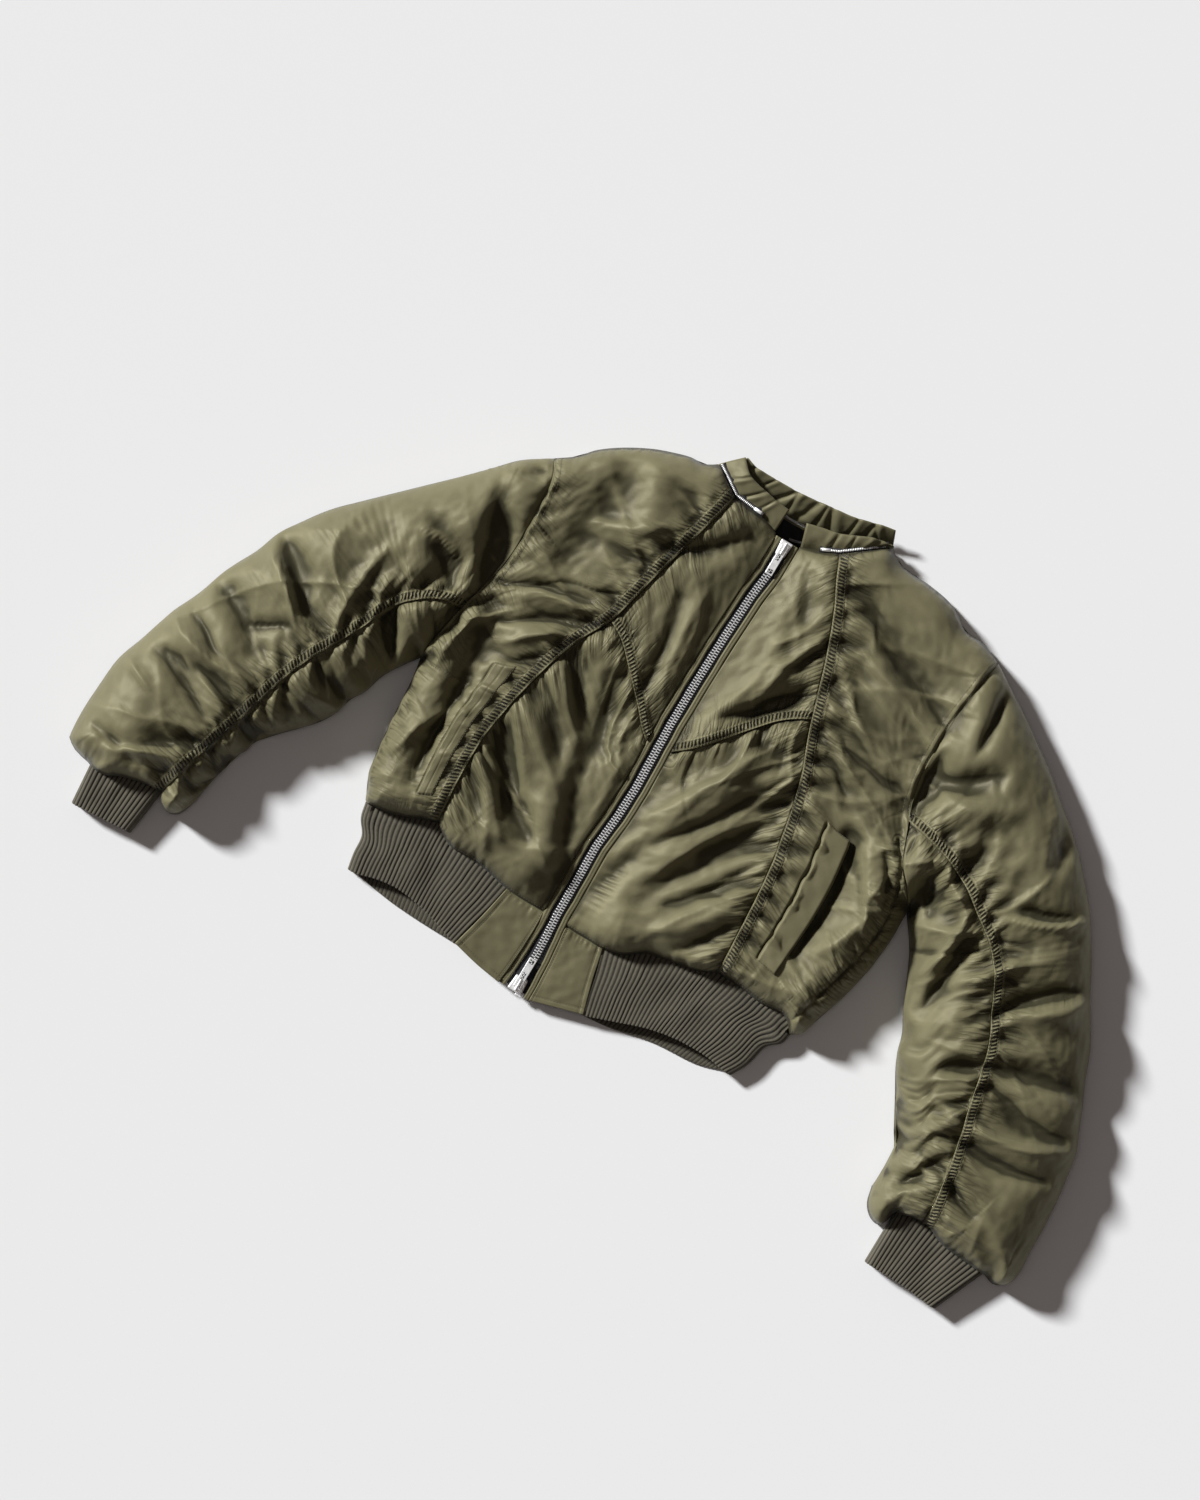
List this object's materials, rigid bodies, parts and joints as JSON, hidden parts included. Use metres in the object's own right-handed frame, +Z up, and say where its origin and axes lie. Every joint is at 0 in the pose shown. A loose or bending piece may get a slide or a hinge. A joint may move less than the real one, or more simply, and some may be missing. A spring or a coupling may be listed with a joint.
{
  "type": "bomber jacket",
  "caption": "Cropped olive nylon bomber jacket laid flat on its back: gathered V seams, closed front zip with two pulls, rib hem and cuffs, zipped collar.",
  "frame": {"origin": "on the flat underside of the back panel, on the line of the front zip", "axes": "+X across the jacket towards the viewer's right sleeve, +Y from hem to collar, +Z up from the floor"},
  "size_m": [1.1026, 0.661, 0.0687],
  "materials": {
    "nylon": "olive satin nylon twill",
    "rib_knit": "grey-olive rib knit",
    "zip_tape": "woven black tape",
    "neck_lining": "plain black lining",
    "zip_metal": "polished nickel",
    "hanger_loop": "grey woven loop"
  },
  "bodies": {
    "jacket": {"back_panel": "nylon", "back_edge_left": "nylon", "back_edge_right": "nylon", "back_edge_top": "nylon", "side_panel_left": "nylon", "side_panel_right": "nylon", "lower_front_left": "nylon", "lower_front_right": "nylon", "upper_front_left": "nylon", "upper_front_right": "nylon", "placket_left_low": "nylon", "placket_left_mid": "nylon", "placket_left_high": "nylon", "placket_right_low": "nylon", "placket_right_mid": "nylon", "placket_right_high": "nylon", "zip_tape_left_low": "zip_tape", "zip_tape_left_mid": "zip_tape", "zip_tape_left_high": "zip_tape", "zip_tape_right_low": "zip_tape", "zip_tape_right_mid": "zip_tape", "zip_tape_right_high": "zip_tape", "zip_chain_low": "zip_metal", "zip_chain_mid": "zip_metal", "zip_chain_high": "zip_metal", "top_slider": "zip_metal", "bottom_slider": "zip_metal", "zip_end": "zip_metal", "hem_facing_left": "nylon", "hem_facing_right": "nylon", "hem_rib": "rib_knit", "top_sleeve_left": "nylon", "top_sleeve_right": "nylon", "under_sleeve_left": "nylon", "under_sleeve_right": "nylon", "cuff_left": "rib_knit", "cuff_right": "rib_knit", "collar_front_left": "nylon", "collar_front_right": "nylon", "collar_back": "nylon", "collar_zip_left": "zip_metal", "collar_zip_right": "zip_metal", "neck_lining": "neck_lining", "hanger_loop": "hanger_loop", "pocket_welt_left": "nylon", "pocket_welt_right": "nylon"},
    "top_tab": {"top_pull": "zip_metal"},
    "bottom_tab": {"bottom_pull": "zip_metal"}
  },
  "joints": [
    {"name": "top_pull_hinge", "type": "hinge", "parent": "jacket", "child": "top_tab", "pos_m": [0.003, 0.2598, 0.03049], "axis": [-1, 0, 0], "range_deg": [0, 165]},
    {"name": "bottom_pull_hinge", "type": "hinge", "parent": "jacket", "child": "bottom_tab", "pos_m": [0.00064, -0.2578, 0.01746], "axis": [1, 0, 0], "range_deg": [0, 165]}
  ]
}
